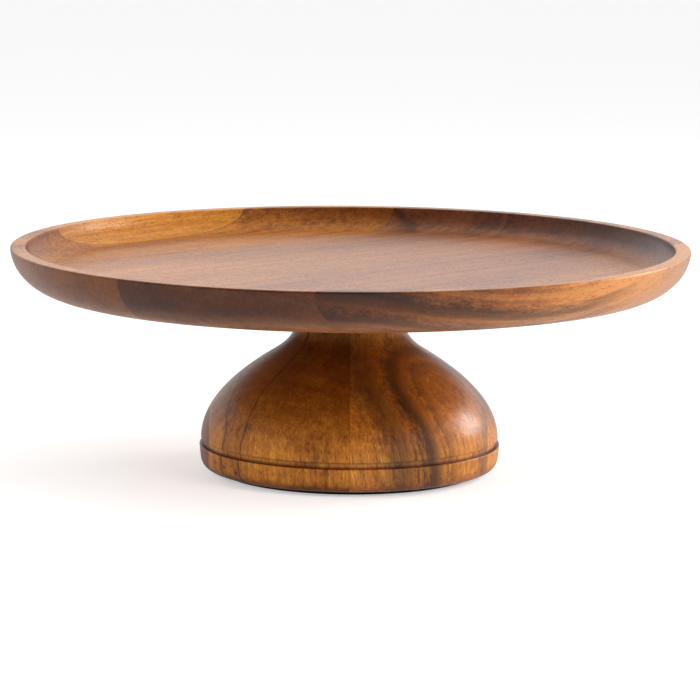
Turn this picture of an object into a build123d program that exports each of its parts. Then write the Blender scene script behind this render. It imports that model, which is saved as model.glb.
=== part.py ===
from build123d import *

import os

os.makedirs("parts", exist_ok=True)

# A footed cake stand: a turned wooden plate with a raised rim, bolted to a domed
# pedestal. Millimetres, +Z up, the origin at the centre of the underside of the
# foot pad, where the stand rests. The front is -Y.

# The stand as a whole
stand_height = 103.0
plate_radius = 152.5

# Plate
plate_thickness = 20.0
floor_thickness = 9.5
rim_width = 7.0
rim_rounding = 1.0
underside_radius = 131.0
side_drop = 13.2
side_lean = 1.2
side_undercut = 8.4
cove_width = 13.5
cove_drop = 7.0
cove_lean = 1.0
cove_reach = 6.0

# Boards of the plate, glued edge to edge and running front left to back right;
# each glue joint is given by its distance behind and left of the centre line
board_angle = 45.0
board_joints = (-97.0, -51.0, -14.0, 34.0, 87.0, 133.0)

# Pedestal, from the bottom up
wood_bottom = 2.2
foot_radius = 63.9
foot_round_radius = 67.0
foot_round_height = 3.4
band_bottom_radius = 67.4
band_bottom_height = 7.3
band_radius = 67.9
band_rounding = 0.5
groove_bottom = 13.0
groove_height = 2.6
groove_depth = 0.9
dome_radius = 67.2
dome_rise = 14.7
flank_radius = 35.3
flank_height = 54.6
flank_slope = 58.7
flank_lower_reach = 21.9
flank_upper_reach = 8.6
waist_radius = 24.4
waist_height = 70.0
waist_reach = 6.9
neck_radius = 30.0
neck_reach = 5.0
neck_slope = 55.0

# Staves of the pedestal block, glued face to face across X: two thick, two edge slips
stave_joints = (-63.0, 0.0, 61.5)

# Foot pad, let into the underside of the pedestal
pad_radius = 58.4
pad_thickness = 3.0
pad_gap = 0.2
pad_rounding = 0.6
pad_hole_radius = 11.0

# M6 x 80 socket head bolt with its washer and threaded insert
bolt_radius = 3.0
bolt_length = 80.0
bolt_clearance = 0.3
bolt_head_radius = 5.0
bolt_head_height = 6.0
bolt_head_rounding = 0.5
bolt_tip_chamfer = 0.8
socket_width = 5.0
socket_depth = 3.0
washer_radius = 9.0
washer_thickness = 1.6
washer_gap = 0.5
insert_radius = 4.5
insert_length = 7.0
insert_chamfer = 0.5
insert_hole_spare = 0.5
thread_clearance = 0.05

# Dowel pins that stop the plate turning, glued into the neck
dowel_radius = 4.0
dowel_length = 20.0
dowel_stand_out = 6.5
dowel_circle_radius = 15.0
dowel_count = 2
dowel_chamfer = 0.8
dowel_clearance = 0.05
dowel_hole_spare = 0.5

# Heights and radii that follow from those
underside = stand_height - plate_thickness
floor_height = underside + floor_thickness
rim_inner_radius = plate_radius - rim_width
floor_radius = rim_inner_radius - cove_width
groove_radius = dome_radius - groove_depth
groove_top = groove_bottom + groove_height
recess_top = pad_thickness
bolt_tip = underside + insert_length
bolt_seat = bolt_tip - bolt_length
washer_seat = bolt_seat + washer_thickness
dowel_bottom = underside + dowel_stand_out - dowel_length
neck_plane = Plane.XY.offset(underside)


def write_step(part, name):
    part.label = name
    export_step(part, f"parts/{name}.step")


# Directions of the pedestal's outline in its (radius, height) plane, leaning in from straight up
flank_direction = Vector(0, 1).rotate(Axis.Z, flank_slope)
neck_direction = Vector(0, 1).rotate(Axis.Z, -neck_slope)

# The turned plate, before it is parted into its boards
with BuildPart() as plate_blank:
    with BuildSketch(Plane.XZ):
        with BuildLine():
            Line((0, underside), (underside_radius, underside))
            Bezier(
                (underside_radius, underside),
                (underside_radius + side_undercut, underside),
                (plate_radius - side_lean, stand_height - side_drop),
                (plate_radius, stand_height - rim_rounding),
            )
            Bezier(
                (plate_radius, stand_height - rim_rounding),
                (plate_radius, stand_height),
                (plate_radius - rim_rounding, stand_height),
            )
            Line(
                (plate_radius - rim_rounding, stand_height),
                (rim_inner_radius + rim_rounding, stand_height),
            )
            Bezier(
                (rim_inner_radius + rim_rounding, stand_height),
                (rim_inner_radius, stand_height),
                (rim_inner_radius, stand_height - rim_rounding),
            )
            Bezier(
                (rim_inner_radius, stand_height - rim_rounding),
                (rim_inner_radius - cove_lean, stand_height - cove_drop),
                (floor_radius + cove_reach, floor_height),
                (floor_radius, floor_height),
            )
            Polyline((floor_radius, floor_height), (0, floor_height), (0, underside))
        make_face()
    revolve(axis=Axis.Z)
    with BuildSketch(neck_plane):
        with PolarLocations(dowel_circle_radius, dowel_count, start_angle=board_angle):
            Circle(dowel_radius + dowel_clearance)
    extrude(amount=dowel_stand_out + dowel_hole_spare, mode=Mode.SUBTRACT)
    with BuildSketch(neck_plane):
        Circle(insert_radius)
    extrude(amount=insert_length + insert_hole_spare, mode=Mode.SUBTRACT)

# Boards, numbered from the front right to the back left
across_boards = Vector(0, 1).rotate(Axis.Z, board_angle)
board_planes = [Plane(across_boards * joint, z_dir=across_boards) for joint in board_joints]
board_count = len(board_joints) + 1
for number in range(1, board_count + 1):
    with BuildPart() as board:
        add(plate_blank.part)
        if number > 1:
            split(bisect_by=board_planes[number - 2], keep=Keep.TOP)
        if number < board_count:
            split(bisect_by=board_planes[number - 1], keep=Keep.BOTTOM)
    write_step(board.part, f"plate_board_{number}")

# The turned pedestal, before it is parted into its staves
with BuildPart() as pedestal_blank:
    with BuildSketch(Plane.XZ):
        with BuildLine():
            Line((0, wood_bottom), (foot_radius, wood_bottom))
            Bezier(
                (foot_radius, wood_bottom),
                (foot_round_radius, foot_round_height),
                (band_bottom_radius, band_bottom_height),
            )
            Line(
                (band_bottom_radius, band_bottom_height),
                (band_radius, groove_bottom - band_rounding),
            )
            Bezier(
                (band_radius, groove_bottom - band_rounding),
                (band_radius, groove_bottom),
                (band_radius - band_rounding, groove_bottom),
            )
            Polyline(
                (band_radius - band_rounding, groove_bottom),
                (groove_radius, groove_bottom),
                (groove_radius, groove_top),
                (dome_radius, groove_top),
            )
            flank = Vector(flank_radius, flank_height)
            Bezier(
                (dome_radius, groove_top),
                (dome_radius, groove_top + dome_rise),
                flank - flank_direction * flank_lower_reach,
                flank,
            )
            Bezier(
                flank,
                flank + flank_direction * flank_upper_reach,
                (waist_radius, waist_height - waist_reach),
                (waist_radius, waist_height),
            )
            neck = Vector(neck_radius, underside)
            Bezier(
                (waist_radius, waist_height),
                (waist_radius, waist_height + neck_reach),
                neck - neck_direction * neck_reach,
                neck,
            )
            Polyline(neck, (0, underside), (0, wood_bottom))
        make_face()
    revolve(axis=Axis.Z)
    with BuildSketch(Plane.XY.offset(wood_bottom)):
        Circle(pad_radius + pad_gap)
    extrude(amount=recess_top - wood_bottom, mode=Mode.SUBTRACT)
    with Locations(Plane((0, 0, recess_top), z_dir=(0, 0, -1))):
        CounterBoreHole(
            bolt_radius + bolt_clearance,
            washer_radius + washer_gap,
            washer_seat - recess_top,
        )
    with BuildSketch(Plane.XY.offset(dowel_bottom)):
        with PolarLocations(dowel_circle_radius, dowel_count, start_angle=board_angle):
            Circle(dowel_radius)
    extrude(amount=underside - dowel_bottom, mode=Mode.SUBTRACT)

# Staves, numbered from left to right
stave_planes = [Plane.YZ.offset(joint) for joint in stave_joints]
stave_count = len(stave_joints) + 1
for number in range(1, stave_count + 1):
    with BuildPart() as stave:
        add(pedestal_blank.part)
        if number > 1:
            split(bisect_by=stave_planes[number - 2], keep=Keep.TOP)
        if number < stave_count:
            split(bisect_by=stave_planes[number - 1], keep=Keep.BOTTOM)
    write_step(stave.part, f"pedestal_stave_{number}")

# Foot pad: a rubber ring with a rounded edge, open at the centre for the hex key
with BuildPart() as foot_pad:
    Cylinder(pad_radius, pad_thickness, align=(Align.CENTER, Align.CENTER, Align.MIN))
    fillet(edges().group_by(Axis.Z)[0], pad_rounding)
    Hole(pad_hole_radius)
write_step(foot_pad.part, "foot_pad")

# Fixing bolt: head down in the pedestal's counterbore, tip up in the insert
with BuildPart() as fixing_bolt:
    with BuildSketch(Plane.XY.offset(bolt_seat - bolt_head_height)):
        Circle(bolt_head_radius)
    extrude(amount=bolt_head_height)
    fillet(edges().group_by(Axis.Z)[0], bolt_head_rounding)
    with BuildSketch(Plane.XY.offset(bolt_seat)):
        Circle(bolt_radius)
    extrude(amount=bolt_length)
    chamfer(edges().group_by(Axis.Z)[-1], bolt_tip_chamfer)
    with BuildSketch(Plane.XY.offset(bolt_seat - bolt_head_height)):
        RegularPolygon(socket_width / 2, 6, major_radius=False)
    extrude(amount=socket_depth, mode=Mode.SUBTRACT)
write_step(fixing_bolt.part, "fixing_bolt")

# Washer between the bolt's head and the floor of the counterbore
with BuildPart() as bolt_washer:
    with BuildSketch(Plane.XY.offset(bolt_seat)):
        Circle(washer_radius)
        Circle(bolt_radius + bolt_clearance, mode=Mode.SUBTRACT)
    extrude(amount=washer_thickness)
write_step(bolt_washer.part, "bolt_washer")

# Threaded insert, pressed up into the underside of the plate; the thread is plain here
with BuildPart() as threaded_insert:
    with BuildSketch(neck_plane):
        Circle(insert_radius)
        Circle(bolt_radius + thread_clearance, mode=Mode.SUBTRACT)
    extrude(amount=insert_length)
    mouth = edges().group_by(Axis.Z)[0].sort_by(SortBy.RADIUS)[0]
    chamfer(mouth, insert_chamfer)
write_step(threaded_insert.part, "threaded_insert")

# Dowel pins, one each side of the bolt, in line with the boards
for side, direction in (("right", 1), ("left", -1)):
    place = Vector(direction * dowel_circle_radius, 0, dowel_bottom).rotate(Axis.Z, board_angle)
    with BuildPart() as dowel:
        with BuildSketch(Plane(place)):
            Circle(dowel_radius)
        extrude(amount=dowel_length)
        chamfer(edges().filter_by(GeomType.CIRCLE), dowel_chamfer)
    write_step(dowel.part, f"dowel_pin_{side}")
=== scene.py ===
import math

import bpy
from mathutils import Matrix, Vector


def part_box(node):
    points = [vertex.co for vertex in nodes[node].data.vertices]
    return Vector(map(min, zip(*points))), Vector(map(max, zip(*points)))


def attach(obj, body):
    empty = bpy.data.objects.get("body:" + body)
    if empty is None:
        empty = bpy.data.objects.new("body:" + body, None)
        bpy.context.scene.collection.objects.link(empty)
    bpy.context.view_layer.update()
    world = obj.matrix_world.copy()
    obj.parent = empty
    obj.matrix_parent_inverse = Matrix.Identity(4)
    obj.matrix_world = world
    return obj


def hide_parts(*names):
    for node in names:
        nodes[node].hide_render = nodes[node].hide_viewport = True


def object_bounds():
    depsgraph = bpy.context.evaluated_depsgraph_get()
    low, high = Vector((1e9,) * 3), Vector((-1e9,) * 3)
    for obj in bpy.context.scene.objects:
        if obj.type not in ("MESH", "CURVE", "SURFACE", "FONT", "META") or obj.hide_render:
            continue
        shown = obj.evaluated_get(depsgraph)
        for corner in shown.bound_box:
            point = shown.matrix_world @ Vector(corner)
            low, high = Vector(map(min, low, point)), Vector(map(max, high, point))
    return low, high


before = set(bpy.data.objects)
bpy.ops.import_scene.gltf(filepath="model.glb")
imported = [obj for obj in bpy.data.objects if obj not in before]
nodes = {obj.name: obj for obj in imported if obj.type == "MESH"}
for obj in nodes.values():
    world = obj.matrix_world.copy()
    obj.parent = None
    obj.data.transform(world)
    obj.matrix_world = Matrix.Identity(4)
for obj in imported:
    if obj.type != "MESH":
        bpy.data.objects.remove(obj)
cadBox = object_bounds()
bpy.ops.object.select_all(action="DESELECT")
mm = 0.001
print("frame loaded:", len(nodes), "nodes")


# Short ways to build node trees
def addNode(tree, kind, inputs=None, **settings):
    node = tree.nodes.new(kind)
    for name, value in settings.items():
        setattr(node, name, value)
    for socket, value in (inputs or {}).items():
        if isinstance(value, bpy.types.NodeSocket):
            tree.links.new(value, node.inputs[socket])
        else:
            node.inputs[socket].default_value = value
    return node


def maths(tree, operation, *values):
    return addNode(tree, "ShaderNodeMath", dict(enumerate(values)), operation=operation).outputs[0]


def vectorMaths(tree, operation, *values):
    node = addNode(tree, "ShaderNodeVectorMath", dict(enumerate(values)), operation=operation)
    return node.outputs["Value" if operation in ("DOT_PRODUCT", "DISTANCE") else "Vector"]


def remap(tree, value, fromMin, fromMax, toMin, toMax):
    inputs = {0: value, 1: fromMin, 2: fromMax, 3: toMin, 4: toMax}
    return addNode(tree, "ShaderNodeMapRange", inputs).outputs[0]


def smooth(tree, value, low, high):
    inputs = {0: value, 1: low, 2: high, 3: 0.0, 4: 1.0}
    return addNode(tree, "ShaderNodeMapRange", inputs, interpolation_type="SMOOTHSTEP").outputs[0]


def mixColours(tree, factor, first, second, blend="MIX"):
    inputs = {0: factor, 6: first, 7: second}
    return addNode(tree, "ShaderNodeMix", inputs, data_type="RGBA", blend_type=blend).outputs[2]


def noise(tree, vector, scale, detail=3.0, roughness=0.5, seed=0.0):
    inputs = {"Vector": vector, "W": seed, "Scale": scale, "Detail": detail, "Roughness": roughness}
    return addNode(tree, "ShaderNodeTexNoise", inputs, noise_dimensions="4D").outputs


def newGroup(name, inputs, outputs):
    tree = bpy.data.node_groups.new(name, "ShaderNodeTree")
    kinds = {"float": "NodeSocketFloat", "vector": "NodeSocketVector", "colour": "NodeSocketColor"}
    for label, kind, value in inputs:
        socket = tree.interface.new_socket(label, in_out="INPUT", socket_type=kinds[kind])
        if value is not None:
            socket.default_value = value
    for label, kind in outputs:
        tree.interface.new_socket(label, in_out="OUTPUT", socket_type=kinds[kind])
    return tree, tree.nodes.new("NodeGroupInput").outputs, tree.nodes.new("NodeGroupOutput").inputs


def newMaterial(name):
    material = bpy.data.materials.new(name)
    material.use_nodes = True
    material.node_tree.nodes.clear()
    return material, material.node_tree


def screenColour(red, green, blue):
    # a colour as it looks on a screen, 0 to 255
    parts = [part / 255 for part in (red, green, blue)]
    return [p / 12.92 if p <= 0.04045 else ((p + 0.055) / 1.055) ** 2.4 for p in parts] + [1.0]


# The layers that the wood's figure is made of: how far each is drawn out along the grain, how fine it is
# to the millimetre, and whether it differs from board to board
acaciaLayers = {
    "clouds": {"drawn": (0.22, 1.0, 1.0), "scale": 0.05, "detail": 3.0, "roughness": 0.5, "seeded": True},
    "coarse": {"drawn": (0.02, 1.0, 1.0), "scale": 0.45, "detail": 3.0, "roughness": 0.6, "seeded": True},
    "fine": {"drawn": (0.035, 1.0, 1.0), "scale": 1.6, "detail": 3.0, "roughness": 0.65, "seeded": True},
    "ripple": {"drawn": (1.0, 0.3, 0.3), "scale": 0.25, "detail": 2.0, "roughness": 0.5, "seeded": False},
    "fleck": {"drawn": (0.35, 1.0, 1.0), "scale": 1.1, "detail": 2.0, "roughness": 0.7, "seeded": False},
}
acaciaPores = {"drawn": (0.22, 1.0, 1.0), "scale": 1.9, "smallest": 0.18, "largest": 0.42, "missing": 0.25,
               "shade": (0.22, 0.16, 0.12, 1.0), "depth": 0.75}


def makeAcaciaGroup():
    # Wood space is in millimetres, with X along the grain and the pith on the X axis
    inputs = [("Vector", "vector", None), ("Facing", "float", 0.0), ("Light", "colour", None),
              ("Middle", "colour", None), ("Dark", "colour", None), ("Streak", "colour", None),
              ("Tone", "float", 0.0), ("Rings", "float", 0.3), ("Ring Pitch", "float", 4.0),
              ("Clouds", "float", 0.3), ("Fibres", "float", 0.7), ("Wander", "float", 3.0),
              ("Bow", "float", 0.0), ("Bow Centre", "float", 0.0), ("Slope", "float", 0.0),
              ("Fade", "float", 1000.0), ("End", "colour", (0.3, 0.21, 0.15, 1.0)),
              ("Pores", "float", 1.0), ("Seed", "float", 0.0)]
    for number in (1, 2, 3):
        inputs += [(f"Streak {number}", "float", 0.0), (f"Width {number}", "float", 1.0),
                   (f"Depth {number}", "float", 0.0)]
    outputs = [("Color", "colour"), ("Roughness", "float"), ("Height", "float")]
    tree, given, result = newGroup("acaciaGrain", inputs, outputs)

    # the tree's own bend, then a slow wander of the fibres
    start = addNode(tree, "ShaderNodeSeparateXYZ", {0: given["Vector"]}).outputs
    fromCentre = maths(tree, "SUBTRACT", start[0], given["Bow Centre"])
    bend = maths(tree, "MULTIPLY", maths(tree, "MULTIPLY", fromCentre, fromCentre), given["Bow"])
    bent = addNode(tree, "ShaderNodeCombineXYZ",
                   {0: start[0], 1: start[1], 2: maths(tree, "SUBTRACT", start[2], bend)}).outputs[0]
    slow = vectorMaths(tree, "MULTIPLY", bent, (0.3, 1.0, 1.0))
    wander = noise(tree, slow, 0.03, 2.0, 0.5, given["Seed"])["Color"]
    wander = vectorMaths(tree, "MULTIPLY", vectorMaths(tree, "SUBTRACT", wander, (0.5, 0.5, 0.5)),
                         (0.0, 2.0, 2.0))
    wander = addNode(tree, "ShaderNodeVectorMath", {0: wander, "Scale": given["Wander"]}, operation="SCALE")
    wood = vectorMaths(tree, "ADD", bent, wander.outputs[0])

    # growth rings: one noise read along the distance from the pith
    place = addNode(tree, "ShaderNodeSeparateXYZ", {0: wood}).outputs
    radius = maths(tree, "SQRT", maths(tree, "ADD", maths(tree, "MULTIPLY", place[1], place[1]),
                                       maths(tree, "MULTIPLY", place[2], place[2])))
    ringPlace = maths(tree, "MULTIPLY_ADD", given["Seed"], 13.7,
                      maths(tree, "DIVIDE", radius, given["Ring Pitch"]))
    ringNoise = addNode(tree, "ShaderNodeTexNoise", {"W": ringPlace, "Scale": 1.0, "Detail": 4.0,
                                                     "Roughness": 0.6}, noise_dimensions="1D").outputs[0]
    rings = remap(tree, ringNoise, 0.3, 0.7, -1.0, 1.0)

    # clouds of colour, fibres at two sizes, the ripple that runs across them, and fine fleck
    layers = {}
    for name, layer in acaciaLayers.items():
        drawnOut = vectorMaths(tree, "MULTIPLY", wood, layer["drawn"])
        seed = given["Seed"] if layer["seeded"] else 0.0
        layers[name] = noise(tree, drawnOut, layer["scale"], layer["detail"], layer["roughness"], seed)[0]
    fibres = maths(tree, "ADD", remap(tree, layers["coarse"], 0.3, 0.7, -0.5, 0.5),
                   remap(tree, layers["fine"], 0.3, 0.7, -0.5, 0.5))
    ringDepth = maths(tree, "MULTIPLY", smooth(tree, radius, 4.0, 30.0), given["Rings"])
    tone = maths(tree, "MULTIPLY_ADD", rings, ringDepth, given["Tone"])
    cloudy = remap(tree, layers["clouds"], 0.3, 0.7, -1.0, 1.0)
    tone = maths(tree, "MULTIPLY_ADD", cloudy, given["Clouds"], tone)
    tone = maths(tree, "MULTIPLY_ADD", fibres, given["Fibres"], tone)
    tone = maths(tree, "ADD", tone, remap(tree, layers["ripple"], 0.3, 0.7, -0.15, 0.15))
    tone = maths(tree, "ADD", tone, remap(tree, layers["fleck"], 0.3, 0.7, -0.2, 0.2))
    tone = maths(tree, "MULTIPLY_ADD", start[0], given["Slope"], tone)
    body = mixColours(tree, smooth(tree, tone, -0.9, 0.1), given["Dark"], given["Middle"])
    body = mixColours(tree, smooth(tree, tone, -0.1, 0.9), body, given["Light"])

    # dark heartwood streaks, each a shell around the pith, that fade out along the grain
    fadeEnd = maths(tree, "ADD", given["Fade"], 60.0)
    left = smooth(tree, start[0], fadeEnd, given["Fade"])
    ragged = maths(tree, "MULTIPLY_ADD", fibres, 2.8, radius)
    ragged = maths(tree, "MULTIPLY_ADD", cloudy, 2.0, ragged)
    for number in (1, 2, 3):
        away = maths(tree, "ABSOLUTE", maths(tree, "SUBTRACT", ragged, given[f"Streak {number}"]))
        share = maths(tree, "DIVIDE", away, given[f"Width {number}"])
        depth = maths(tree, "MULTIPLY", left, given[f"Depth {number}"])
        mask = maths(tree, "MULTIPLY", smooth(tree, share, 1.0, 0.0), depth)
        body = mixColours(tree, mask, body, given["Streak"])

    # end grain drinks the finish and goes darker
    endMask = smooth(tree, given["Facing"], 0.0, 0.8)
    body = mixColours(tree, endMask, body, given["End"], "MULTIPLY")

    # open pores: short dark dashes along the grain, dots on end grain
    drawnOut = vectorMaths(tree, "MULTIPLY", given["Vector"], acaciaPores["drawn"])
    cells = addNode(tree, "ShaderNodeTexVoronoi", {"Vector": drawnOut, "Scale": acaciaPores["scale"]})
    chance = addNode(tree, "ShaderNodeSeparateColor", {0: cells.outputs["Color"]}).outputs
    size = remap(tree, chance[1], 0.0, 1.0, acaciaPores["smallest"], acaciaPores["largest"])
    inside = smooth(tree, maths(tree, "DIVIDE", cells.outputs["Distance"], size), 1.0, 0.55)
    there = maths(tree, "GREATER_THAN", chance[0], acaciaPores["missing"])
    pores = maths(tree, "MULTIPLY", inside, there)
    pores = maths(tree, "MULTIPLY", pores, given["Pores"])
    poreColour = mixColours(tree, 1.0, body, acaciaPores["shade"], "MULTIPLY")
    body = mixColours(tree, maths(tree, "MULTIPLY", pores, acaciaPores["depth"]), body, poreColour)

    tree.links.new(body, result["Color"])
    rough = maths(tree, "MULTIPLY_ADD", pores, 0.2, remap(tree, layers["fine"], 0.3, 0.7, 0.32, 0.42))
    tree.links.new(rough, result["Roughness"])
    tree.links.new(maths(tree, "MULTIPLY_ADD", layers["fine"], 0.35, maths(tree, "MULTIPLY", pores, -1.0)),
                   result["Height"])
    return tree


def makeGlueLineGroup():
    # darkens a hair's breadth beside each glued face; Place is read across the boards, in millimetres
    tree, given, result = newGroup(
        "glueLine", [("Color", "colour", None), ("Place", "float", 0.0), ("Low", "float", -1000.0),
                     ("High", "float", 1000.0), ("Width", "float", 0.25), ("Depth", "float", 0.45)],
        [("Color", "colour")])
    fromLow = maths(tree, "SUBTRACT", given["Place"], given["Low"])
    fromHigh = maths(tree, "SUBTRACT", given["High"], given["Place"])
    near = maths(tree, "DIVIDE", maths(tree, "MINIMUM", fromLow, fromHigh), given["Width"])
    mask = maths(tree, "MULTIPLY", smooth(tree, near, 1.0, 0.3), given["Depth"])
    tree.links.new(mixColours(tree, mask, given["Color"], (0.03, 0.014, 0.007, 1.0)), result["Color"])
    return tree


def makeGumVeinGroup():
    # a thin dark sheet of gum in the wood, given by its facing and its distance in millimetres
    tree, given, result = newGroup(
        "gumVein", [("Color", "colour", None), ("Vector", "vector", None), ("Facing", "vector", None),
                    ("Distance", "float", 0.0), ("Width", "float", 0.8), ("Depth", "float", 0.5),
                    ("Along", "float", 0.0), ("From", "float", -1000.0)],
        [("Color", "colour")])
    wavy = remap(tree, noise(tree, given["Vector"], 0.06, 2.0)[0], 0.3, 0.7, -1.2, 1.2)
    reach = maths(tree, "ADD", vectorMaths(tree, "DOT_PRODUCT", given["Vector"], given["Facing"]), wavy)
    away = maths(tree, "ABSOLUTE", maths(tree, "SUBTRACT", reach, given["Distance"]))
    mask = smooth(tree, maths(tree, "DIVIDE", away, given["Width"]), 1.0, 0.0)
    past = maths(tree, "SUBTRACT", given["Along"], given["From"])
    depth = maths(tree, "MULTIPLY", given["Depth"], smooth(tree, past, -8.0, 8.0))
    mask = maths(tree, "MULTIPLY", mask, depth)
    dark = mixColours(tree, 1.0, given["Color"], (0.2, 0.15, 0.14, 1.0), "MULTIPLY")
    tree.links.new(mixColours(tree, mask, given["Color"], dark), result["Color"])
    return tree


def makePinKnotGroup():
    # a small dark knot with a browner ring around it
    tree, given, result = newGroup(
        "pinKnot", [("Color", "colour", None), ("Vector", "vector", None), ("Centre", "vector", None),
                    ("Radius", "float", 1.0)],
        [("Color", "colour")])
    away = maths(tree, "DIVIDE", vectorMaths(tree, "DISTANCE", given["Vector"], given["Centre"]),
                 given["Radius"])
    ring = mixColours(tree, smooth(tree, away, 2.2, 0.9), given["Color"], (0.19, 0.07, 0.025, 1.0))
    core = mixColours(tree, smooth(tree, away, 1.0, 0.6), ring, (0.045, 0.028, 0.02, 1.0))
    tree.links.new(core, result["Color"])
    return tree


def makePaintedGrooveShadeGroup():
    # painted shade: darkens the bottom corner of the turned groove, with a fainter painted shade line along
    # its upper edge; in millimetres
    tree, given, result = newGroup(
        "grooveShade", [("Color", "colour", None), ("Height", "float", 0.0), ("Low", "float", 0.0),
                        ("High", "float", 0.0), ("Depth", "float", 0.8)],
        [("Color", "colour")])
    fromLow = maths(tree, "SUBTRACT", given["Height"], given["Low"])
    corner = maths(tree, "MULTIPLY", smooth(tree, fromLow, -0.15, 0.05), smooth(tree, fromLow, 1.5, 0.3))
    fromHigh = maths(tree, "ABSOLUTE", maths(tree, "SUBTRACT", given["Height"], given["High"]))
    edge = maths(tree, "MULTIPLY", smooth(tree, fromHigh, 0.6, 0.1), 0.45)
    mask = maths(tree, "MULTIPLY", maths(tree, "MAXIMUM", corner, edge), given["Depth"])
    dark = mixColours(tree, 1.0, given["Color"], (0.28, 0.18, 0.13, 1.0), "MULTIPLY")
    tree.links.new(mixColours(tree, mask, given["Color"], dark), result["Color"])
    return tree


acaciaGrain = makeAcaciaGroup()
glueLine = makeGlueLineGroup()
gumVein = makeGumVeinGroup()
pinKnot = makePinKnotGroup()
grooveShade = makePaintedGrooveShadeGroup()

# Tones of the wood, from sapwood gold to heartwood umber
goldTones = {"Light": screenColour(216, 150, 56), "Middle": screenColour(186, 116, 38),
             "Dark": screenColour(134, 74, 26), "Streak": screenColour(76, 42, 22)}
amberTones = {"Light": screenColour(190, 124, 62), "Middle": screenColour(156, 92, 44),
              "Dark": screenColour(104, 58, 28), "Streak": screenColour(52, 29, 20)}
honeyTones = {"Light": screenColour(216, 150, 56), "Middle": screenColour(172, 107, 35),
              "Dark": screenColour(112, 62, 22), "Streak": screenColour(46, 28, 20)}
umberTones = {"Light": screenColour(142, 86, 48), "Middle": screenColour(112, 64, 34),
              "Dark": screenColour(76, 42, 24), "Streak": screenColour(42, 25, 18)}

# How the wood lies in the two turned parts: along the grain, across the glued pieces, through them
boardTurn = math.radians(45)
boardAxes = {"grain": Vector((math.cos(boardTurn), math.sin(boardTurn), 0.0)),
             "across": Vector((-math.sin(boardTurn), math.cos(boardTurn), 0.0)),
             "through": Vector((0.0, 0.0, 1.0))}
staveAxes = {"grain": Vector((0.0, 0.0, 1.0)), "across": Vector((1.0, 0.0, 0.0)),
             "through": Vector((0.0, 1.0, 0.0))}


def gluedFaces(name, direction, ends):
    # where the flat glued faces of a piece lie along a direction, in millimetres
    reach = [vertex.co.dot(direction) / mm for vertex in nodes[name].data.vertices]
    low = min(reach) if ends[0] else -1000.0
    high = max(reach) if ends[1] else 1000.0
    return low, high


def woodMaterial(name, axes, settings):
    material, tree = newMaterial(name)
    coordinates = addNode(tree, "ShaderNodeTexCoord").outputs
    place = vectorMaths(tree, "MULTIPLY", coordinates["Object"], (1 / mm, 1 / mm, 1 / mm))
    facing = maths(tree, "ABSOLUTE", vectorMaths(tree, "DOT_PRODUCT", coordinates["Normal"], axes["grain"]))
    along = vectorMaths(tree, "DOT_PRODUCT", place, axes["grain"])
    across = vectorMaths(tree, "DOT_PRODUCT", place, axes["across"])
    through = vectorMaths(tree, "DOT_PRODUCT", place, axes["through"])

    # the tree may lean, so the pith drifts across the piece as it goes along the grain
    pithAcross, pithThrough = settings["pith"]
    leanAcross, leanThrough = settings.get("lean", (0.0, 0.0))
    fromPithAcross = maths(tree, "SUBTRACT", maths(tree, "MULTIPLY_ADD", along, -leanAcross, across),
                           pithAcross)
    fromPithThrough = maths(tree, "SUBTRACT", maths(tree, "MULTIPLY_ADD", along, -leanThrough, through),
                            pithThrough)
    wood = addNode(tree, "ShaderNodeCombineXYZ",
                   {0: along, 1: fromPithAcross, 2: fromPithThrough}).outputs[0]
    sockets = {"Vector": wood, "Facing": facing, **settings["tones"], **settings["values"]}
    for number, (distance, width, depth) in enumerate(settings["streaks"], 1):
        sockets.update({f"Streak {number}": distance, f"Width {number}": width, f"Depth {number}": depth})
    grain = addNode(tree, "ShaderNodeGroup", sockets, node_tree=acaciaGrain).outputs
    colour = grain["Color"]

    # the marks that only some pieces have, the painted shade in the stave groove, then the glue lines
    for vein in settings.get("veins", ()):
        sockets = {"Color": colour, "Vector": place, "Along": along, **vein}
        colour = addNode(tree, "ShaderNodeGroup", sockets, node_tree=gumVein).outputs[0]
    for centre, radius in settings.get("knots", ()):
        sockets = {"Color": colour, "Vector": place, "Centre": centre, "Radius": radius}
        colour = addNode(tree, "ShaderNodeGroup", sockets, node_tree=pinKnot).outputs[0]
    # painted shade in the turned groove of the staves
    if "groove" in settings:
        low, high = settings["groove"]
        sockets = {"Color": colour, "Height": along, "Low": low, "High": high}
        colour = addNode(tree, "ShaderNodeGroup", sockets, node_tree=grooveShade).outputs[0]
    low, high = settings["faces"]
    sockets = {"Color": colour, "Place": across, "Low": low, "High": high}
    colour = addNode(tree, "ShaderNodeGroup", sockets, node_tree=glueLine).outputs[0]
    bump = addNode(tree, "ShaderNodeBump", {"Height": grain["Height"], "Strength": 0.6,
                                            "Distance": 0.15 * mm}).outputs[0]
    surface = addNode(tree, "ShaderNodeBsdfPrincipled",
                      {"Base Color": colour, "Roughness": grain["Roughness"],
                       "Normal": bump, "Specular IOR Level": settings["shine"],
                       "Coat Weight": settings["coat"], "Coat Roughness": 0.25})
    addNode(tree, "ShaderNodeOutputMaterial", {0: surface.outputs[0]})
    return material


def dress(name, material):
    mesh = nodes[name].data
    mesh.materials.clear()
    mesh.materials.append(material)


def dressGluedPieces(pieces, axes, shared):
    for number, (name, settings) in enumerate(pieces.items(), 1):
        ends = (number > 1, number < len(pieces))
        settings = {**shared, **settings, "faces": gluedFaces(name, axes["across"], ends)}
        dress(name, woodMaterial(name + "_wood", axes, settings))


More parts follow.
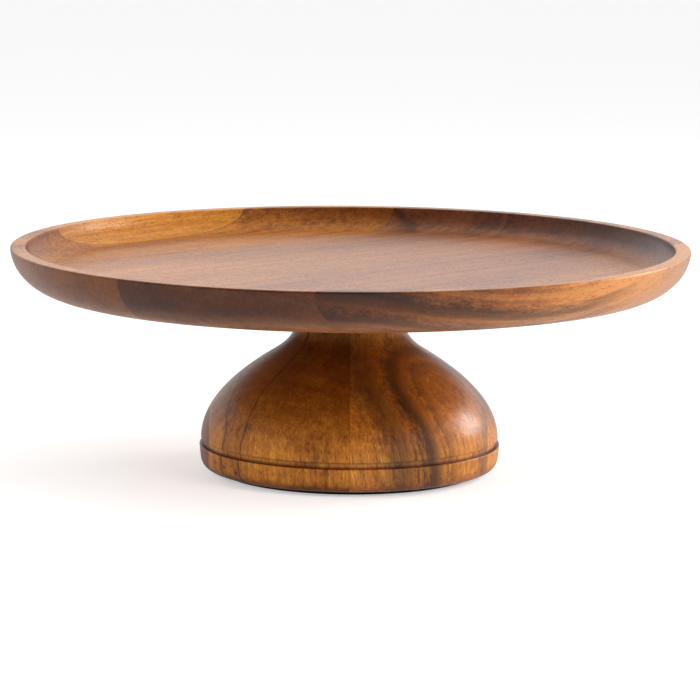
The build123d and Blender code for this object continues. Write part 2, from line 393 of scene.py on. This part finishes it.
# The plate's boards, from the front right to the back left
plateBoards = {
    "plate_board_1": {
        "tones": amberTones, "pith": (-104.0, -60.0),
        "values": {"Tone": 0.5, "Slope": 0.007, "Rings": 0.3, "Ring Pitch": 3.0, "Fibres": 0.6,
                   "Wander": 3.0, "Seed": 1.3, "Bow": 0.0017, "Bow Centre": -50.0, "Fade": -20.0,
                   "End": (0.22, 0.15, 0.11, 1.0)},
        "streaks": ((156.5, 5.5, 0.75), (147.5, 3.5, 0.6), (167.0, 4.0, 0.15))},
    "plate_board_2": {
        "tones": amberTones, "pith": (-70.0, 20.0),
        "values": {"Tone": 0.0, "Rings": 0.25, "Ring Pitch": 5.0, "Seed": 2.1,
                   "End": (0.2, 0.14, 0.1, 1.0)},
        "streaks": ()},
    "plate_board_3": {
        "tones": amberTones, "pith": (-30.0, 40.0),
        "values": {"Tone": -0.05, "Rings": 0.3, "Ring Pitch": 6.0, "Seed": 3.4,
                   "End": (0.2, 0.15, 0.11, 1.0)},
        "streaks": ()},
    "plate_board_4": {
        "tones": amberTones, "pith": (8.0, 0.0),
        "values": {"Tone": 0.0, "Slope": -0.0025, "Rings": 0.3, "Ring Pitch": 5.0, "Seed": 4.2,
                   "End": (0.3, 0.22, 0.14, 1.0)},
        "streaks": ()},
    "plate_board_5": {
        "tones": amberTones, "pith": (77.0, 107.0),
        "values": {"Tone": 0.05, "Slope": -0.0025, "Rings": 0.25, "Ring Pitch": 5.0, "Seed": 5.9,
                   "End": (0.34, 0.25, 0.17, 1.0)},
        "streaks": (),
        "veins": ({"Facing": (-0.39, 0.39, -0.835), "Distance": -36.9, "Width": 2.8, "Depth": 0.7,
                   "From": 110.0},)},
    "plate_board_6": {
        "tones": goldTones, "pith": (108.0, 30.0), "shine": 0.22, "coat": 0.05,
        "values": {"Tone": -0.35, "Rings": 0.2, "Ring Pitch": 6.0, "Seed": 6.7},
        "streaks": ()},
    "plate_board_7": {
        "tones": goldTones, "pith": (150.0, 20.0), "shine": 0.22, "coat": 0.05,
        "values": {"Tone": 0.15, "Rings": 0.35, "Ring Pitch": 2.2, "Fibres": 0.6, "Wander": 5.0,
                   "Seed": 7.5},
        "streaks": ()},
}
dressGluedPieces(plateBoards, boardAxes, {"shine": 0.3, "coat": 0.12})
print("plate boards dressed")

# The pedestal's staves, from left to right
pedestalStaves = {
    "pedestal_stave_1": {
        "tones": umberTones, "pith": (-90.0, 30.0), "shine": 0.2,
        "values": {"Tone": 0.0, "Rings": 0.25, "Ring Pitch": 4.0, "Seed": 11.0},
        "streaks": ()},
    "pedestal_stave_2": {
        "tones": honeyTones, "pith": (100.0, 150.0), "shine": 0.2,
        "values": {"Tone": -0.03, "Rings": 0.2, "Ring Pitch": 4.0, "Seed": 12.3,
                   "End": (0.38, 0.27, 0.17, 1.0)},
        "streaks": ((200.0, 17.0, 0.6),),
        "knots": (((-55.6, -38.3, 8.2), 0.8), ((-50.0, -45.1, 6.8), 1.0)),
        "veins": ({"Facing": (0.707, -0.707, 0.0), "Distance": -1.0, "Width": 0.9, "Depth": 0.75},
                  {"Facing": (0.97, -0.24, 0.0), "Distance": -45.6, "Width": 0.9, "Depth": 0.75})},
    "pedestal_stave_3": {
        "tones": honeyTones, "pith": (53.5, -32.0), "lean": (-0.15, 0.0), "coat": 0.2,
        "values": {"Tone": 0.0, "Rings": 0.18, "Ring Pitch": 2.2, "Fibres": 0.85, "Wander": 3.0,
                   "Seed": 13.1, "Fade": 40.0, "End": (0.72, 0.55, 0.4, 1.0)},
        "streaks": ((18.0, 4.5, 0.35), (27.6, 7.0, 0.85), (42.0, 14.0, 0.7)),
        "veins": ({"Facing": (1.0, 0.0, 0.0), "Distance": 60.0, "Width": 3.0, "Depth": 0.45},)},
    "pedestal_stave_4": {
        "tones": goldTones, "pith": (90.0, 10.0),
        "values": {"Tone": -0.1, "Rings": 0.25, "Ring Pitch": 4.0, "Seed": 14.6},
        "streaks": ()},
}
# the staves get painted shade in their turned groove, between these heights in millimetres
dressGluedPieces(pedestalStaves, staveAxes, {"shine": 0.3, "coat": 0.05, "groove": (13.0, 15.6)})
print("pedestal staves dressed")


def plainMaterial(name, settings):
    material, tree = newMaterial(name)
    place = addNode(tree, "ShaderNodeTexCoord").outputs["Object"]
    speckle = noise(tree, place, settings["speckle"])[0]
    wear = noise(tree, place, settings["speckle"] / 12, 4.0)[0]
    colour = mixColours(tree, remap(tree, wear, 0.35, 0.65, 0.0, 1.0), settings["base"], settings["worn"])
    rough = remap(tree, speckle, 0.3, 0.7, settings["roughness"] - 0.06, settings["roughness"] + 0.08)
    bump = addNode(tree, "ShaderNodeBump", {"Height": speckle, "Strength": 0.4, "Distance": 0.05 * mm})
    surface = addNode(tree, "ShaderNodeBsdfPrincipled",
                      {"Base Color": colour, "Roughness": rough, "Metallic": settings["metallic"],
                       "Normal": bump.outputs[0]})
    addNode(tree, "ShaderNodeOutputMaterial", {0: surface.outputs[0]})
    return material


padRubber = {"base": screenColour(14, 13, 13), "worn": screenColour(26, 25, 24), "roughness": 0.75,
             "metallic": 0.0, "speckle": 900.0}
dress("foot_pad", plainMaterial("foot_pad_rubber", padRubber))

zincSteel = {"base": screenColour(176, 178, 182), "worn": screenColour(150, 152, 158), "roughness": 0.32,
             "metallic": 1.0, "speckle": 2500.0}
zinc = plainMaterial("zinc_steel", zincSteel)
dress("bolt_washer", zinc)

insertBrass = {"base": screenColour(196, 158, 88), "worn": screenColour(170, 132, 70), "roughness": 0.3,
               "metallic": 1.0, "speckle": 2500.0}
dress("threaded_insert", plainMaterial("insert_brass", insertBrass))

dowelBeech = {"base": screenColour(214, 178, 132), "worn": screenColour(196, 156, 108), "roughness": 0.55,
              "metallic": 0.0, "speckle": 900.0}
beech = plainMaterial("dowel_beech", dowelBeech)
dress("dowel_pin_left", beech)
dress("dowel_pin_right", beech)
print("pad and fastenings dressed")

# The bolt with its thread cut: the head and shank are the CAD bolt's, and the thread is wound on above them
boltThread = {"radius": 3.0 * mm, "pitch": 1.0 * mm, "turns": 24, "depthShare": 0.65, "steps": 32,
              "overlap": 0.2 * mm, "lead": 0.4 * mm, "leadScale": 0.88}


def startEditing(piece):
    bpy.ops.object.select_all(action="DESELECT")
    bpy.context.view_layer.objects.active = piece
    piece.select_set(True)
    bpy.ops.object.mode_set(mode="EDIT")


def selectWhere(piece, test):
    # selects the vertices that pass the test, and the edges and faces that lie between them
    bpy.ops.object.mode_set(mode="OBJECT")
    mesh = piece.data
    for vertex in mesh.vertices:
        vertex.select = test(vertex.co)
    for part in list(mesh.edges) + list(mesh.polygons):
        part.select = all(mesh.vertices[number].select for number in part.vertices)
    bpy.ops.object.mode_set(mode="EDIT")


def cutLevel(height, keepBelow):
    bpy.ops.mesh.select_all(action="SELECT")
    bpy.ops.mesh.bisect(plane_co=(0, 0, height), plane_no=(0, 0, 1), use_fill=True,
                        clear_outer=keepBelow, clear_inner=not keepBelow, threshold=0.0001 * mm)


def makeThreadedBolt(settings):
    radius, pitch = settings["radius"], settings["pitch"]
    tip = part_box("fixing_bolt")[1].z
    start = tip - settings["turns"] * pitch

    # head and plain shank
    bolt = bpy.data.objects.new("threaded_bolt", nodes["fixing_bolt"].data.copy())
    bpy.context.collection.objects.link(bolt)
    startEditing(bolt)
    bpy.ops.mesh.select_all(action="SELECT")
    bpy.ops.mesh.remove_doubles(threshold=0.001 * mm)
    cutLevel(start + settings["overlap"], True)
    bpy.ops.object.mode_set(mode="OBJECT")

    # one groove of the thread, a triangle open on its outer side, wound up around Z
    corner = pitch / math.sqrt(3)
    bpy.ops.mesh.primitive_circle_add(vertices=3, radius=corner,
                                      location=(radius - corner / 2, 0, start - pitch / 2),
                                      rotation=(math.pi / 2, -math.pi / 2, 0))
    thread = bpy.context.object
    bpy.ops.object.transform_apply(location=True, rotation=True, scale=True)
    bpy.context.tool_settings.mesh_select_mode = (False, True, False)
    startEditing(thread)
    bpy.ops.mesh.select_all(action="SELECT")
    bpy.ops.transform.resize(value=(settings["depthShare"], 1, 1), center_override=(radius, 0, 0))
    selectWhere(thread, lambda place: place.x > radius - 0.01 * mm)
    bpy.ops.mesh.delete(type="EDGE")
    bpy.context.tool_settings.mesh_select_mode = (True, False, False)
    bpy.ops.object.mode_set(mode="OBJECT")
    winding = thread.modifiers.new("winding", "SCREW")
    winding.axis = "Z"
    winding.screw_offset = pitch
    winding.iterations = settings["turns"] + 2
    winding.steps = settings["steps"]
    winding.render_steps = settings["steps"]
    bpy.ops.object.modifier_apply(modifier="winding")
    startEditing(thread)
    bpy.ops.mesh.select_all(action="SELECT")
    bpy.ops.mesh.remove_doubles(threshold=0.01 * mm)
    cutLevel(tip, True)
    cutLevel(start, False)
    bpy.ops.mesh.select_all(action="SELECT")
    bpy.ops.mesh.normals_make_consistent(inside=False)
    selectWhere(thread, lambda place: place.z > tip - settings["lead"])
    bpy.ops.transform.resize(value=(settings["leadScale"], settings["leadScale"], 1),
                             center_override=(0, 0, tip))
    bpy.ops.object.mode_set(mode="OBJECT")

    bpy.ops.object.select_all(action="DESELECT")
    thread.select_set(True)
    bolt.select_set(True)
    bpy.context.view_layer.objects.active = bolt
    bpy.ops.object.join()
    bpy.ops.mesh.customdata_custom_splitnormals_clear()
    bpy.ops.object.shade_smooth_by_angle(angle=math.radians(30))
    bolt.select_set(False)
    return bolt


threadedBolt = makeThreadedBolt(boltThread)
threadedBolt.data.materials.clear()
threadedBolt.data.materials.append(zinc)
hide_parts("fixing_bolt")
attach(threadedBolt, "pedestal")
print("bolt threaded:", len(threadedBolt.data.polygons), "faces")

# A pale floor that glows a little, as on a light table
lowest = cadBox[0]
floorPaper = {"size": 40.0, "gap": 0.1 * mm, "albedo": 0.7, "roughness": 0.8, "shine": 0.1, "glow": 0.3,
              "thrown": 0.12}
bpy.ops.mesh.primitive_plane_add(size=floorPaper["size"], location=(0, 0, lowest.z - floorPaper["gap"]))
floor = bpy.context.object
floor.name = "floor"
paper = bpy.data.materials.new("pale_paper")
paper.use_nodes = True
paperShader = paper.node_tree.nodes["Principled BSDF"].inputs
paperShader["Base Color"].default_value = [floorPaper["albedo"]] * 3 + [1]
paperShader["Roughness"].default_value = floorPaper["roughness"]
paperShader["Specular IOR Level"].default_value = floorPaper["shine"]
paperShader["Emission Color"].default_value = (1, 1, 1, 1)
seenByCamera = addNode(paper.node_tree, "ShaderNodeLightPath").outputs["Is Camera Ray"]
glow = maths(paper.node_tree, "MULTIPLY_ADD", seenByCamera, floorPaper["glow"], floorPaper["thrown"])
paper.node_tree.links.new(glow, paperShader["Emission Strength"])
floor.data.materials.append(paper)

# A white room, brighter behind the stand than in front of it; the camera sees it plain white
room = {"back": 1.25, "front": 0.25, "seen": 1.0}
world = bpy.data.worlds.new("whiteRoom")
bpy.context.scene.world = world
world.use_nodes = True
roomTree = world.node_tree
direction = addNode(roomTree, "ShaderNodeTexCoord").outputs["Generated"]
depth = addNode(roomTree, "ShaderNodeSeparateXYZ", {0: direction}).outputs[1]
roomLight = remap(roomTree, depth, -0.6, 0.8, room["front"], room["back"])
fromCamera = addNode(roomTree, "ShaderNodeLightPath").outputs["Is Camera Ray"]
seen = maths(roomTree, "MULTIPLY", fromCamera, room["seen"])
unseen = maths(roomTree, "MULTIPLY", maths(roomTree, "SUBTRACT", 1.0, fromCamera), roomLight)
roomTree.links.new(maths(roomTree, "ADD", seen, unseen), roomTree.nodes["Background"].inputs["Strength"])
roomTree.nodes["Background"].inputs["Color"].default_value = (1, 1, 1, 1)

# Softboxes, aimed at the foot of the plate
softboxes = {
    "keySoftbox": {"place": (0.95, -0.85, 0.65), "size": (0.7, 0.7), "power": 14.0, "gloss": False},
    "sideSoftbox": {"place": (1.02, 0.45, 0.46), "size": (0.4, 0.5), "power": 7.5, "gloss": True},
    "leftSoftbox": {"place": (-1.0, -0.5, 0.5), "size": (0.8, 0.8), "power": 6.5, "gloss": False},
    "lowSoftbox": {"place": (1.1, -0.3, 0.07), "size": (0.5, 0.12), "power": 2.8, "gloss": False},
}
aim = Vector((0.0, 0.0, 0.05))
for name, softbox in softboxes.items():
    bpy.ops.object.light_add(type="AREA", location=softbox["place"])
    light = bpy.context.object
    light.name = name
    light.data.shape = "RECTANGLE"
    light.data.size, light.data.size_y = softbox["size"]
    light.data.energy = softbox["power"]
    light.visible_glossy = softbox["gloss"]
    light.rotation_euler = (aim - light.location).to_track_quat("-Z", "Y").to_euler()

# The camera looks down a little from straight in front
viewCamera = {"place": Vector((0.0, -1.6203, 0.3097)), "aim": Vector((0.0, 0.0, 0.0551)), "lens": 186.75,
              "roll": 0.007}
bpy.ops.object.camera_add(location=viewCamera["place"])
camera = bpy.context.object
camera.name = "viewCamera"
camera.data.sensor_width = 36.0
camera.data.lens = viewCamera["lens"]
camera.rotation_euler = (viewCamera["aim"] - viewCamera["place"]).to_track_quat("-Z", "Y").to_euler()
camera.rotation_euler.rotate_axis("Z", viewCamera["roll"])
bpy.context.scene.camera = camera
bpy.context.scene.view_settings.view_transform = "Standard"
print("floor, lights and camera set")
